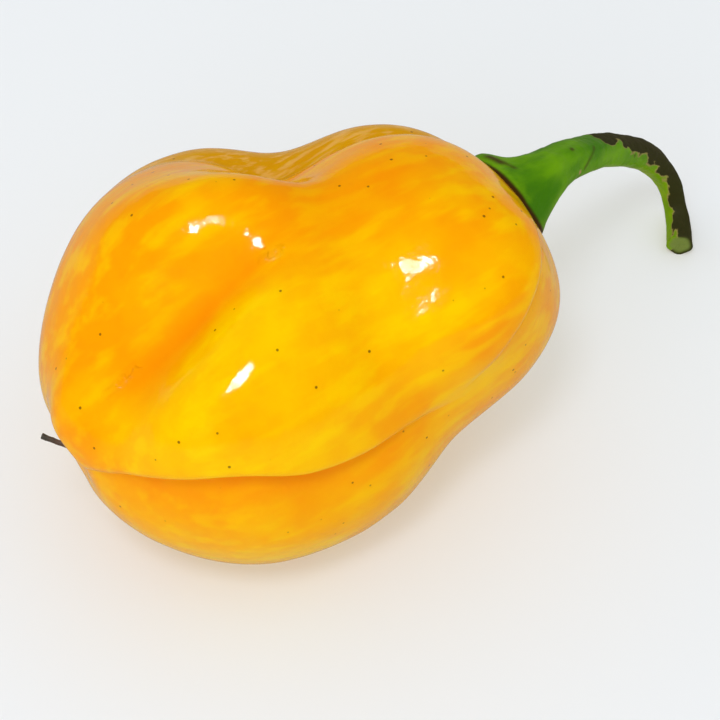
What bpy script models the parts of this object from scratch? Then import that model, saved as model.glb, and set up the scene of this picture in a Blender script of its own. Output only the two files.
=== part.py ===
"""A yellow habanero chilli, as picked, lying on its side: pod, calyx with its stalk, dried style.

Run it with blender --background --python part.py, or from Blender's text editor.
Metres, +Z up. The blossom end points to -X and the stalk to +X.
"""

import math
from typing import NamedTuple

import bmesh
import bpy
import numpy as np
from mathutils import Matrix, Vector

POD_HALF_LENGTH = 0.0246
POD_HALF_WIDTH = 0.0196
POD_FULLNESS = 2.2  # 2 is an ellipse, more is boxier
POD_TURNS = 72
POD_RINGS = 48
POD_LEAN = 34.5  # degrees the pod's near ridge leans from straight up to the near side
POD_TILT = 12.0  # degrees the stalk end stands higher than the blossom end
POD_SUNK = 0.0004  # how much of each foot is pressed flat by the surface it lies on

ROD_SIDES_LEVEL = 7
STALK_STEPS = 26
STYLE_STEPS = 7
STYLE_HOLE_RADIUS = 0.0006
STYLE_HOLE_DEPTH = 0.0011
STYLE_HOLE_SIDES = 16
GAP = 0.0003  # between pieces that touch on the real chilli
SAME_PLACE = 0.000001  # vertices nearer than this become one
SHARP_EDGE = 50.0  # degrees between faces from which an edge looks sharp

POD_COLOUR = (0.91, 0.46, 0.01)
POD_ROUGHNESS = 0.18
STALK_COLOUR = (0.10, 0.22, 0.01)
STALK_ROUGHNESS = 0.45
STYLE_COLOUR = (0.12, 0.07, 0.03)
STYLE_ROUGHNESS = 0.8


class Swell(NamedTuple):
    """A soft swelling of the pod's wall, or a hollow if its height is negative."""

    along: float  # degrees from the blossom end to the stalk end, seen from the pod's middle
    around: float  # degrees round the pod from its near ridge, up and over to the far side
    height: float
    length: float  # spread along the pod, in degrees
    width: float  # spread round the pod, in degrees


class Furrow(NamedTuple):
    """A furrow between two lobes, which runs along the pod."""

    course: tuple  # stations of (along, around, depth)
    reach_before: float  # how far it spreads towards smaller angles round the pod
    reach_after: float  # how far it spreads towards larger ones
    roundness: float  # 1 is a crease, 2 a round valley


class Station(NamedTuple):
    """A place on the middle line of the stalk or the style, and how thick it is there."""

    x: float
    y: float
    z: float
    radius: float


ALL_ROUND = 1000.0

SWELLS = {
    "belly": Swell(58.0, 0.0, 0.0007, 22.0, ALL_ROUND),
    "waist": Swell(118.0, 0.0, -0.0018, 18.0, ALL_ROUND),
    "saddle": Swell(114.0, 68.0, -0.0050, 34.0, 36.0),
    "far_crown": Swell(88.0, 110.0, 0.0022, 30.0, 24.0),
    "tip_dimple": Swell(0.0, 0.0, -0.0014, 8.0, ALL_ROUND),
    "tip_fold": Swell(21.0, 20.0, 0.0016, 10.0, 28.0),
    "near_ridge": Swell(97.0, 43.0, 0.0015, 28.0, 16.0),
    "near_flank": Swell(121.0, -32.0, 0.0018, 18.0, 16.0),
    "far_waist": Swell(120.0, 112.0, -0.0004, 25.0, 25.0),
    "low_shoulder": Swell(155.0, -80.0, 0.0020, 20.0, 60.0),
    "near_belly": Swell(50.0, -14.0, 0.0018, 24.0, 24.0),
    "near_waist": Swell(104.0, -25.0, -0.0012, 16.0, 32.0),
    "near_shoulder": Swell(138.0, -18.0, 0.0034, 18.0, 30.0),
    "crown": Swell(82.0, 50.0, 0.0014, 24.0, 24.0),
    "blossom_flat": Swell(35.0, 60.0, -0.0010, 22.0, 45.0),
    "near_foot": Swell(78.0, -114.0, 0.0017, 40.0, 26.0),
    "far_foot": Swell(78.0, -176.0, 0.0008, 34.0, 26.0),
}

FRONT_CREASE = Furrow(
    ((12, -29, 0.0004), (31, -29, 0.0016), (42, -31, 0.0021), (55, -35, 0.0025), (71, -45, 0.0025),
     (84, -49, 0.0019), (101, -52, 0.0008), (119, -56, 0.0001), (145, -60, 0.0), (172, -80, 0.0)),
    0.0052, 0.0008, 1.4)

FURROWS = {
    "front_crease": FRONT_CREASE,
    "near_valley": Furrow(
        ((14, 4, 0.0002), (25, 6, 0.0013), (36, 9, 0.0033), (47, 12, 0.0050), (60, 16, 0.0055), (75, 20, 0.0046),
         (90, 21, 0.0028), (105, 22, 0.0014), (125, 24, 0.0006), (150, 24, 0.0002)),
        0.0052, 0.0084, 2.0),
    "shoulder_fold": Furrow(
        ((120, -52, 0.0001), (128, -46, 0.0004), (133, -40, 0.0008), (139, -33, 0.0011), (146, -26, 0.0012),
         (156, -20, 0.0008), (166, -17, 0.0002)),
        0.0054, 0.0008, 1.4),
    "top_valley": Furrow(
        ((30, 100, 0.0001), (60, 97, 0.0002), (83, 95, 0.0005), (92, 93, 0.0009), (103, 90, 0.0016),
         (120, 88, 0.0016), (145, 80, 0.0014), (165, 78, 0.0008)),
        0.0026, 0.0018, 1.3),
    "far_valley": Furrow(
        ((20, 160, 0.0004), (60, 158, 0.0015), (90, 155, 0.0018), (120, 152, 0.0015), (160, 150, 0.0008)),
        0.0040, 0.0040, 1.8),
    "under_valley": Furrow(
        ((20, -130, 0.0004), (50, -138, 0.0020), (90, -143, 0.0030), (130, -140, 0.0018), (160, -130, 0.0008)),
        0.0046, 0.0046, 1.8),
}
CREASE_COLUMN = -50.0  # the column of vertices, in degrees round the pod, that is bent to follow the front crease
CREASE_PULL = 40.0  # how far to its sides the other columns bend with it, in degrees

# x and y from the pod's middle, z from the surface the chilli lies on
CALYX_AND_STALK = (
    Station(0.0224, 0.0000, 0.0243, 0.00500),
    Station(0.0240, 0.0000, 0.0247, 0.00525),
    Station(0.0247, 0.0000, 0.0249, 0.00490),
    Station(0.0253, 0.0000, 0.0251, 0.00400),
    Station(0.0269, 0.0002, 0.0254, 0.00300),
    Station(0.0293, 0.0013, 0.0250, 0.00232),
    Station(0.0342, 0.0036, 0.0224, 0.00190),
    Station(0.0375, 0.0052, 0.0200, 0.00175),
    Station(0.0409, 0.0070, 0.0168, 0.00168),
    Station(0.0440, 0.0084, 0.0137, 0.00164),
    Station(0.0465, 0.0093, 0.0109, 0.00152),
    Station(0.0485, 0.0097, 0.0080, 0.00138),
    Station(0.0501, 0.0094, 0.0048, 0.00127),
    Station(0.0503, 0.0084, 0.0024, 0.00118),
    Station(0.0497, 0.0066, 0.0014, 0.00123),
    Station(0.0483, 0.0042, 0.0014, 0.00137),
)

# x, y and z from the bottom of the pit at the pod's blossom end
STYLE = (
    Station(0.0009, 0.0000, 0.0002, 0.00024),
    Station(0.0001, 0.0000, 0.0000, 0.00025),
    Station(-0.0005, 0.0003, 0.0001, 0.00027),
    Station(-0.0012, 0.0009, 0.0003, 0.00025),
    Station(-0.0024, 0.0021, 0.0007, 0.00029),
)


def smooth_through(places, values, at):
    """A smooth curve through the values at the places, read at other places; flat beyond its ends."""
    places = np.asarray(places, float)
    values = np.asarray(values, float)
    slopes = np.gradient(values, places)
    at = np.clip(at, places[0], places[-1])
    span = np.clip(np.searchsorted(places, at) - 1, 0, len(places) - 2)
    width = places[span + 1] - places[span]
    t = (at - places[span]) / width
    rise = values[span + 1] - values[span]
    bend_in = slopes[span] * width - rise
    bend_out = rise - slopes[span + 1] * width
    return values[span] + t * rise + t * (1 - t) * ((1 - t) * bend_in + t * bend_out)


def angle_between(first, second):
    """The signed difference of two angles in degrees, from -180 to 180."""
    return (first - second + 180.0) % 360.0 - 180.0


def along_and_around(ways):
    """The two angles of unit directions from the pod's middle, in degrees."""
    along = np.degrees(np.arccos(np.clip(-ways[:, 0], -1.0, 1.0)))
    lean = math.radians(POD_LEAN)
    to_ridge = ways[:, 2] * math.cos(lean) - ways[:, 1] * math.sin(lean)
    to_crown = ways[:, 2] * math.sin(lean) + ways[:, 1] * math.cos(lean)
    return along, np.degrees(np.arctan2(to_crown, to_ridge))


def swell_height(swell, along, around):
    """How far a swell lifts the wall at each place."""
    lengthwise = (along - swell.along) / swell.length
    crosswise = angle_between(around, swell.around) / swell.width
    return swell.height * np.exp(-(lengthwise**2) - crosswise**2)


def furrow_depth(furrow, along, around, reach):
    """How deep a furrow cuts the wall at each place."""
    stations = np.array(furrow.course).T
    course = smooth_through(stations[0], stations[1], along)
    depth = smooth_through(stations[0], stations[2], along)
    aside = np.radians(angle_between(around, course)) * np.sin(np.radians(along)) * reach
    spread = np.where(aside < 0, furrow.reach_before, furrow.reach_after)
    fade = np.clip(along / stations[0][0], 0, 1) * np.clip((180.0 - along) / (180.0 - stations[0][-1]), 0, 1)
    return depth * fade * np.exp(-np.abs(aside / spread) ** furrow.roundness)


def pod_reach(ways):
    """How far the pod's wall lies from its middle along each unit direction."""
    along, around = along_and_around(ways)
    lengthwise = np.abs(ways[:, 0] / POD_HALF_LENGTH) ** POD_FULLNESS
    crosswise = (np.sqrt(ways[:, 1] ** 2 + ways[:, 2] ** 2) / POD_HALF_WIDTH) ** POD_FULLNESS
    reach = (lengthwise + crosswise) ** (-1.0 / POD_FULLNESS)
    for swell in SWELLS.values():
        reach = reach + swell_height(swell, along, around)
    hollow = sum(furrow_depth(furrow, along, around, reach) for furrow in FURROWS.values())
    return reach - hollow


def tilted(points):
    """Points in the pod's frame, turned so that its stalk end stands higher."""
    tilt = math.radians(POD_TILT)
    x = points[:, 0] * math.cos(tilt) - points[:, 2] * math.sin(tilt)
    z = points[:, 0] * math.sin(tilt) + points[:, 2] * math.cos(tilt)
    return np.stack([x, points[:, 1], z], axis=1)


def direction(along, around):
    """The unit directions at the two angles, in degrees."""
    along = np.radians(along)
    around = np.radians(around - POD_LEAN)
    return np.stack([-np.cos(along), np.sin(along) * np.sin(around), np.sin(along) * np.cos(around)], axis=1)


def pod_ball(turns, rings):
    """A ball whose poles lie along the pod, and its vertices' directions, with a column along the crease."""
    ball = bmesh.new()
    bmesh.ops.create_uvsphere(ball, u_segments=turns, v_segments=rings, radius=1.0)
    places = np.array([vertex.co for vertex in ball.verts])
    along = np.degrees(np.arccos(np.clip(-places[:, 2], -1.0, 1.0)))
    column = CREASE_COLUMN - np.degrees(np.arctan2(places[:, 1], places[:, 0]))
    stations = np.array(FRONT_CREASE.course).T
    shift = smooth_through(stations[0], stations[1], along) - CREASE_COLUMN
    aside = angle_between(column, CREASE_COLUMN)
    return ball, direction(along, column + shift * np.exp(-((aside / CREASE_PULL) ** 2)))


def pod_middle_height():
    """The height of the pod's middle, with its lowest point pressed flat by the surface."""
    ball, ways = pod_ball(POD_TURNS, POD_RINGS)
    ball.free()
    return -tilted(ways * pod_reach(ways)[:, None])[:, 2].min() - POD_SUNK


def new_object(name, mesh, collection):
    """An object for the mesh, linked to the collection."""
    piece = bpy.data.objects.new(name, mesh)
    collection.objects.link(piece)
    return piece


def add_pod(name, collection, middle_height, grown=0.0, pressed=True):
    """The pod as one closed solid; grown moves its wall out evenly."""
    ball, ways = pod_ball(POD_TURNS, POD_RINGS)
    places = tilted(ways * (pod_reach(ways) + grown)[:, None])
    places[:, 2] += middle_height
    if pressed:
        places[:, 2] = np.maximum(places[:, 2], 0.0)
    for vertex, place in zip(ball.verts, places):
        vertex.co = place
    mesh = bpy.data.meshes.new(name)
    ball.to_mesh(mesh)
    ball.free()
    mesh.shade_smooth()
    return new_object(name, mesh, collection)


def blossom_end(middle_height):
    """The middle of the pod's wall at its blossom end, and the way out of it."""
    way = np.array([[-1.0, 0.0, 0.0]])
    out = Vector(tilted(way)[0])
    return out * float(pod_reach(way)[0]) + Vector((0, 0, middle_height)), out


def add_tube(name, stations, steps, collection):
    """A round rod of changing thickness through the stations, with closed ends, as a mesh."""
    line = np.array(stations)
    run = np.concatenate([[0.0], np.cumsum(np.linalg.norm(np.diff(line[:, :3], axis=0), axis=1))])
    at = np.linspace(0.0, run[-1], steps)
    at = np.unique(np.concatenate([at, run]))
    curve = bpy.data.curves.new(name, "CURVE")
    curve.dimensions = "3D"
    curve.bevel_depth = 1.0
    curve.bevel_resolution = ROD_SIDES_LEVEL
    curve.use_fill_caps = True
    spline = curve.splines.new("POLY")
    spline.points.add(len(at) - 1)
    middle = [smooth_through(run, line[:, axis], at) for axis in range(3)]
    radii = smooth_through(run, line[:, 3], at)
    for point, x, y, z, radius in zip(spline.points, *middle, radii):
        point.co = (x, y, z, 1.0)
        point.radius = radius
    rod = new_object(name + "_curve", curve, collection)
    bpy.context.view_layer.update()
    mesh = bpy.data.meshes.new_from_object(rod.evaluated_get(bpy.context.evaluated_depsgraph_get()))
    bpy.data.objects.remove(rod)
    weld = bmesh.new()
    weld.from_mesh(mesh)
    bmesh.ops.remove_doubles(weld, verts=weld.verts, dist=SAME_PLACE)
    bmesh.ops.recalc_face_normals(weld, faces=weld.faces)
    weld.to_mesh(mesh)
    weld.free()
    mesh.name = name
    mesh.shade_smooth()
    mesh.set_sharp_from_angle(angle=math.radians(SHARP_EDGE))
    return new_object(name, mesh, collection)


def add_style(middle_height, collection):
    """The dried style, which stands in the pit at the blossom end."""
    end, out = blossom_end(middle_height)
    return add_tube("style_remnant", [Station(*(Vector(s[:3]) + end), s.radius) for s in STYLE],
                    STYLE_STEPS, collection)


def add_pit_cutter(middle_height, collection):
    """A round pin where the style stands in the pod."""
    end, out = blossom_end(middle_height)
    pin = bmesh.new()
    bmesh.ops.create_cone(pin, cap_ends=True, segments=STYLE_HOLE_SIDES, radius1=STYLE_HOLE_RADIUS,
                          radius2=STYLE_HOLE_RADIUS, depth=2 * STYLE_HOLE_DEPTH)
    turn = out.to_track_quat("Z", "Y").to_matrix().to_4x4()
    bmesh.ops.transform(pin, matrix=Matrix.Translation(end) @ turn, verts=pin.verts)
    mesh = bpy.data.meshes.new("style_pit")
    pin.to_mesh(mesh)
    pin.free()
    return new_object("style_pit", mesh, collection)


def as_cutter(piece):
    """Keep a piece out of sight: it only cuts others."""
    piece.hide_render = True
    piece.display_type = "WIRE"
    return piece


def cut(piece, cutter):
    """Take the cutter's shape out of the piece."""
    difference = piece.modifiers.new("cut_by_" + cutter.name, "BOOLEAN")
    difference.operation = "DIFFERENCE"
    difference.solver = "EXACT"
    difference.object = cutter


def finish(piece, colour, roughness):
    """Give the piece a material of its own."""
    material = bpy.data.materials.new(piece.name)
    material.use_nodes = True
    shader = material.node_tree.nodes["Principled BSDF"]
    shader.inputs["Base Color"].default_value = (*colour, 1.0)
    shader.inputs["Roughness"].default_value = roughness
    shader.inputs["Metallic"].default_value = 0.0
    material.diffuse_color = (*colour, 1.0)
    piece.data.materials.append(material)


def centre(pieces):
    """Move all pieces alike so that the box of those that show is centred over the origin."""
    bpy.context.view_layer.update()
    graph = bpy.context.evaluated_depsgraph_get()
    corners = []
    for piece in pieces:
        shown = piece.evaluated_get(graph)
        corners.extend(shown.matrix_world @ vertex.co for vertex in shown.data.vertices)
    low = Vector(map(min, zip(*corners)))
    high = Vector(map(max, zip(*corners)))
    shift = Vector((-(low.x + high.x) / 2, -(low.y + high.y) / 2, -low.z))
    for item in bpy.data.objects:
        item.data.transform(Matrix.Translation(shift))


def main():
    """Build the chilli."""
    for item in list(bpy.data.objects):
        bpy.data.objects.remove(item)
    chilli = bpy.data.collections.new("chilli_pepper")
    cutters = bpy.data.collections.new("cutters")
    bpy.context.scene.collection.children.link(chilli)
    bpy.context.scene.collection.children.link(cutters)

    height = pod_middle_height()
    pod = add_pod("pod", chilli, height)
    stalk = add_tube("calyx_and_stalk", CALYX_AND_STALK, STALK_STEPS, chilli)
    style = add_style(height, chilli)

    clearance = as_cutter(add_pod("pod_clearance", cutters, height, grown=GAP, pressed=False))
    pit = as_cutter(add_pit_cutter(height, cutters))
    cut(stalk, clearance)
    cut(pod, pit)

    finish(pod, POD_COLOUR, POD_ROUGHNESS)
    finish(stalk, STALK_COLOUR, STALK_ROUGHNESS)
    finish(style, STYLE_COLOUR, STYLE_ROUGHNESS)
    centre((pod, stalk, style))


if __name__ == "__main__":
    main()
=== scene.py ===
"""A yellow habanero chilli lying on its side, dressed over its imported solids.

The pod, the calyx with its stalk and the dried style are each drawn out from a ball of vertices by a
formula, finer than the solids they stand for and in the same place. All lengths are in metres.
"""

import logging
import math
from dataclasses import dataclass, field
from enum import Enum
from typing import Callable, Literal, NamedTuple

import bmesh
import bpy
import numpy as np
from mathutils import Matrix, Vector, noise


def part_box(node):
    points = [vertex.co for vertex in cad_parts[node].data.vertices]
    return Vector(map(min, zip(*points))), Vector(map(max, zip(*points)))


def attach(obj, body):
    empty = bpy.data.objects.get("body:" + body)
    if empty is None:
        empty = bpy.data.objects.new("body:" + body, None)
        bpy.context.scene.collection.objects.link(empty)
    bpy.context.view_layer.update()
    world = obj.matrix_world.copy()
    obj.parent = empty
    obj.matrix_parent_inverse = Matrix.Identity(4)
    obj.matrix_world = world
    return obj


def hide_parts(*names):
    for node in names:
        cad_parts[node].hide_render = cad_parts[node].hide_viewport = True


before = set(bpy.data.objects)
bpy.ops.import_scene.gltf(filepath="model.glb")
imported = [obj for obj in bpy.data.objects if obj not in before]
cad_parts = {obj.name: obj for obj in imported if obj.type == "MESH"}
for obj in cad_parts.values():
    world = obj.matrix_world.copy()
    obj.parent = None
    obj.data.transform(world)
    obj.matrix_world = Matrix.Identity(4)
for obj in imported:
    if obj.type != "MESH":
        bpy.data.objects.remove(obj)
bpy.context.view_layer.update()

log = logging.getLogger("chilli")

ALL_ROUND = 1000.0  # a spread so wide that a swell goes all round the pod
IMAGE_WIDTH = 720
NOISE_STEP = 17.3  # how far apart the sizes of one surface's noise are read
SRGB_TOE = 0.04045  # below it a screen colour's scale is straight


class Slot(Enum):
    """The record's material slots."""

    POD = "pod_skin"
    STALK = "green_stalk"
    STYLE = "dried_style"


class Swell(NamedTuple):
    """A soft swelling of the pod's wall, or a hollow if its height is negative."""

    along: float  # degrees from the blossom end to the stalk end, seen from the pod's middle
    around: float  # degrees round the pod from its near ridge, up and over to the far side
    height: float
    length: float  # spread along the pod, in degrees
    width: float  # spread round the pod, in degrees


class Furrow(NamedTuple):
    """A furrow between two lobes, which runs along the pod."""

    course: tuple  # stations of (along, around, depth)
    reach_before: float  # how far it spreads towards smaller angles round the pod
    reach_after: float  # how far it spreads towards larger ones
    roundness: float  # 1 is a crease, 2 a round valley


class Patch(NamedTuple):
    """A soft oval patch of colour on the pod's skin, with angles as a swell has them."""

    along: float
    around: float
    length: float
    width: float

    def mask(self, along: np.ndarray, around: np.ndarray) -> np.ndarray:
        """How much of the patch there is at each place, 0 to 1."""
        return np.exp(-(((along - self.along) / self.length) ** 2) - ((around - self.around) / self.width) ** 2)


class Station(NamedTuple):
    """A place on the middle line of a rod, and how thick it is there."""

    x: float
    y: float
    z: float
    radius: float


class Ripple(NamedTuple):
    """One size of unevenness in a grown surface."""

    size: float  # about the distance from bump to bump
    height: float


class Lamp(NamedTuple):
    """A square soft light that faces the pod."""

    name: str
    towards: tuple[float, float, float]  # the way to it, as right, forward on the floor, and up
    size: float
    energy: float  # in watts
    distance: float
    shows: Literal["glints", "light"]  # whether it only shines back from the gloss, or only lights


def smooth_through(places: np.ndarray, values: np.ndarray, at: np.ndarray) -> np.ndarray:
    """Read a smooth curve through some values.

    Args:
        places: where the values are, rising.
        values: one value for each place.
        at: where to read the curve; it is flat beyond its ends.

    Returns:
        The curve's values there.
    """
    places = np.asarray(places, float)
    values = np.asarray(values, float)
    slopes = np.gradient(values, places)
    at = np.clip(at, places[0], places[-1])
    span = np.clip(np.searchsorted(places, at) - 1, 0, len(places) - 2)
    width = places[span + 1] - places[span]
    t = (at - places[span]) / width
    rise = values[span + 1] - values[span]
    bend_in = slopes[span] * width - rise
    bend_out = rise - slopes[span + 1] * width
    return values[span] + t * rise + t * (1 - t) * ((1 - t) * bend_in + t * bend_out)


def smooth_step(low: float, high: float, at: np.ndarray) -> np.ndarray:
    """Rise smoothly from 0 at low to 1 at high, or fall where high is below low."""
    t = np.clip((at - low) / (high - low), 0.0, 1.0)
    return t * t * (3.0 - 2.0 * t)


def angle_between(first: np.ndarray, second: np.ndarray) -> np.ndarray:
    """The signed difference of two angles in degrees, from -180 to 180."""
    return (first - second + 180.0) % 360.0 - 180.0


def unevenness(points: np.ndarray, ripples: tuple[Ripple, ...], seed: float) -> np.ndarray:
    """Add up smooth noise of several sizes.

    Args:
        points: places in metres.
        ripples: the sizes and heights of the noise.
        seed: a shift that gives each piece its own noise.

    Returns:
        A height for each point, in metres.
    """
    total = np.zeros(len(points))
    for number, ripple in enumerate(ripples):
        shifted = points / ripple.size + seed + NOISE_STEP * number
        total += ripple.height * np.array([noise.noise(Vector(place)) for place in shifted])
    return total


def drawn_ball(name: str, turns: int, rings: int,
               place: Callable[[np.ndarray, np.ndarray], np.ndarray]) -> bpy.types.Object:
    """Draw a ball out into another closed shape.

    Args:
        name: the new piece's name.
        turns: how many columns of faces go round it.
        rings: how many rows of faces go from one pole to the other.
        place: gives the new places of vertices from how far along from pole to pole they are, 0 to 1,
            and how far round, in radians.

    Returns:
        The new piece, at the origin, with its place in its mesh.
    """
    ball = bmesh.new()
    bmesh.ops.create_uvsphere(ball, u_segments=turns, v_segments=rings, radius=1.0)
    sphere = np.array([vertex.co for vertex in ball.verts])
    along = np.arccos(np.clip(-sphere[:, 2], -1.0, 1.0)) / math.pi
    around = np.arctan2(sphere[:, 1], sphere[:, 0])
    for vertex, point in zip(ball.verts, place(along, around)):
        vertex.co = point
    bmesh.ops.recalc_face_normals(ball, faces=ball.faces)
    mesh = bpy.data.meshes.new(name)
    ball.to_mesh(mesh)
    ball.free()
    mesh.shade_smooth()
    piece = bpy.data.objects.new(name, mesh)
    bpy.context.scene.collection.objects.link(piece)
    return piece


def paint(piece: bpy.types.Object, name: str, values: np.ndarray) -> None:
    """Keep one number for each vertex of the piece, for its material to read."""
    layer = piece.data.attributes.new(name, "FLOAT", "POINT")
    layer.data.foreach_set("value", np.asarray(values, np.float32))


def paint_places(piece: bpy.types.Object, name: str, places: np.ndarray) -> None:
    """Keep a place for each vertex of the piece, for its material to read patterns at."""
    layer = piece.data.attributes.new(name, "FLOAT_VECTOR", "POINT")
    layer.data.foreach_set("vector", np.asarray(places, np.float32).ravel())


def vertex_places(piece: bpy.types.Object) -> np.ndarray:
    """The places of the piece's vertices."""
    flat = np.zeros(len(piece.data.vertices) * 3, np.float32)
    piece.data.vertices.foreach_get("co", flat)
    return flat.reshape(-1, 3).astype(float)


def linear(hexadecimal: str) -> tuple[float, float, float, float]:
    """Turn a screen colour into the one that a shader takes.

    Args:
        hexadecimal: the screen colour, such as F9BE00.

    Returns:
        Its linear red, green, blue and a full alpha.
    """
    channels = [int(hexadecimal[i:i + 2], 16) / 255.0 for i in (0, 2, 4)]
    return (*(c / 12.92 if c <= SRGB_TOE else ((c + 0.055) / 1.055) ** 2.4 for c in channels), 1.0)


class Board:
    """A material's nodes, with short ways to add and join them."""

    def __init__(self, name: str) -> None:
        """Start a material with a Principled BSDF."""
        self.material = bpy.data.materials.new(name)
        self.material.use_nodes = True
        self.tree = self.material.node_tree
        self.shader = self.tree.nodes["Principled BSDF"]
        self.place = self.add("ShaderNodeTexCoord").outputs["Object"]

    def add(self, kind: str, **settings: object) -> bpy.types.Node:
        """Add a node.

        Args:
            kind: the node's type.
            **settings: values for its own properties.

        Returns:
            The node.
        """
        node = self.tree.nodes.new(kind)
        for key, value in settings.items():
            setattr(node, key, value)
        return node

    def join(self, source: bpy.types.NodeSocket, target: bpy.types.NodeSocket) -> None:
        """Join an output to an input."""
        self.tree.links.new(source, target)

    def group(self, group: bpy.types.NodeTree, place: bpy.types.NodeSocket | None = None,
              **values: object) -> bpy.types.NodeSocket:
        """Place a node group.

        Args:
            group: the node group.
            place: the places it reads, if not the object's own.
            **values: its inputs' values.

        Returns:
            Its mask.
        """
        node = self.add("ShaderNodeGroup", node_tree=group)
        for key, value in values.items():
            node.inputs[key].default_value = value
        self.join(place or self.place, node.inputs["Vector"])
        return node.outputs["Mask"]

    def stretched(self, turn: float, stretch: tuple[float, float, float]) -> bpy.types.NodeSocket:
        """Give the object's own places, read so that a pattern is stretched.

        Args:
            turn: how far the stretched axes are turned about Y, in degrees.
            stretch: how much the pattern is stretched along each axis.

        Returns:
            The places.
        """
        node = self.add("ShaderNodeMapping", vector_type="TEXTURE")
        self.join(self.place, node.inputs["Vector"])
        node.inputs["Rotation"].default_value = (0.0, math.radians(turn), 0.0)
        node.inputs["Scale"].default_value = stretch
        return node.outputs["Vector"]

    def painted(self, name: str) -> bpy.types.NodeSocket:
        """The numbers kept on the piece's vertices under a name."""
        return self.add("ShaderNodeAttribute", attribute_name=name).outputs["Fac"]

    def blend(self, factor: object, first: object, second: object) -> bpy.types.NodeSocket:
        """Mix two colours.

        Args:
            factor: how much of the second there is, as a number or a socket.
            first: a colour or a socket.
            second: a colour or a socket.

        Returns:
            The mixed colour.
        """
        node = self.add("ShaderNodeMix", data_type="RGBA", blend_type="MIX")
        for socket, value in zip((node.inputs[0], node.inputs[6], node.inputs[7]), (factor, first, second)):
            if isinstance(value, bpy.types.NodeSocket):
                self.join(value, socket)
            else:
                socket.default_value = value
        return node.outputs[2]

    def sum(self, first: object, second: object, how: str = "ADD",
            clamp: bool = False) -> bpy.types.NodeSocket:
        """Work out one number from two.

        Args:
            first: a number or a socket.
            second: a number or a socket.
            how: the operation.
            clamp: whether the result is kept from 0 to 1.

        Returns:
            The result.
        """
        node = self.add("ShaderNodeMath", operation=how, use_clamp=clamp)
        for socket, value in zip(node.inputs, (first, second)):
            if isinstance(value, bpy.types.NodeSocket):
                self.join(value, socket)
            else:
                socket.default_value = value
        return node.outputs[0]

    def span(self, source: bpy.types.NodeSocket, low: float, high: float, out_low: float = 0.0,
             out_high: float = 1.0) -> bpy.types.NodeSocket:
        """Spread numbers over another span, smoothly.

        Args:
            source: the numbers.
            low: the number that becomes out_low.
            high: the number that becomes out_high.
            out_low: the result at low and below.
            out_high: the result at high and above.

        Returns:
            The results.
        """
        node = self.add("ShaderNodeMapRange", interpolation_type="SMOOTHSTEP")
        self.join(source, node.inputs["Value"])
        for key, value in (("From Min", low), ("From Max", high), ("To Min", out_low), ("To Max", out_high)):
            node.inputs[key].default_value = value
        return node.outputs["Result"]

    def bump(self, height: bpy.types.NodeSocket, depth: float,
             below: bpy.types.NodeSocket | None = None) -> bpy.types.NodeSocket:
        """Raise the surface by a height map.

        Args:
            height: the map, 0 to 1.
            depth: how high 1 is.
            below: another bump that this one lies on.

        Returns:
            The surface's normal.
        """
        node = self.add("ShaderNodeBump")
        node.inputs["Strength"].default_value = 1.0
        node.inputs["Distance"].default_value = depth
        self.join(height, node.inputs["Height"])
        if below is not None:
            self.join(below, node.inputs["Normal"])
        return node.outputs["Normal"]


def new_group(name: str, inputs: tuple[tuple[str, str, object], ...], outputs: tuple[str, ...]) -> tuple:
    """Start a node group.

    Args:
        name: the group's name.
        inputs: a name, a socket kind and a default value for each input.
        outputs: a name for each number that it puts out.

    Returns:
        The group, its input node and its output node.
    """
    group = bpy.data.node_groups.new(name, "ShaderNodeTree")
    for label, kind, value in inputs:
        socket = group.interface.new_socket(label, in_out="INPUT", socket_type=kind)
        if value is not None:
            socket.default_value = value
    for label in outputs:
        group.interface.new_socket(label, in_out="OUTPUT", socket_type="NodeSocketFloat")
    return group, group.nodes.new("NodeGroupInput"), group.nodes.new("NodeGroupOutput")


def mottle_group() -> bpy.types.NodeTree:
    """A soft patchy mask: noise of one size, cut between two levels."""
    group, given, result = new_group(
        "mottle",
        (("Vector", "NodeSocketVector", None), ("Scale", "NodeSocketFloat", 100.0),
         ("Detail", "NodeSocketFloat", 3.0), ("Low", "NodeSocketFloat", 0.4),
         ("High", "NodeSocketFloat", 0.6)),
        ("Mask",))
    cloud = group.nodes.new("ShaderNodeTexNoise")
    cut = group.nodes.new("ShaderNodeMapRange")
    cut.interpolation_type = "SMOOTHSTEP"
    links = group.links
    links.new(given.outputs["Vector"], cloud.inputs["Vector"])
    links.new(given.outputs["Scale"], cloud.inputs["Scale"])
    links.new(given.outputs["Detail"], cloud.inputs["Detail"])
    links.new(cloud.outputs["Fac"], cut.inputs["Value"])
    links.new(given.outputs["Low"], cut.inputs["From Min"])
    links.new(given.outputs["High"], cut.inputs["From Max"])
    links.new(cut.outputs["Result"], result.inputs["Mask"])
    return group


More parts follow.
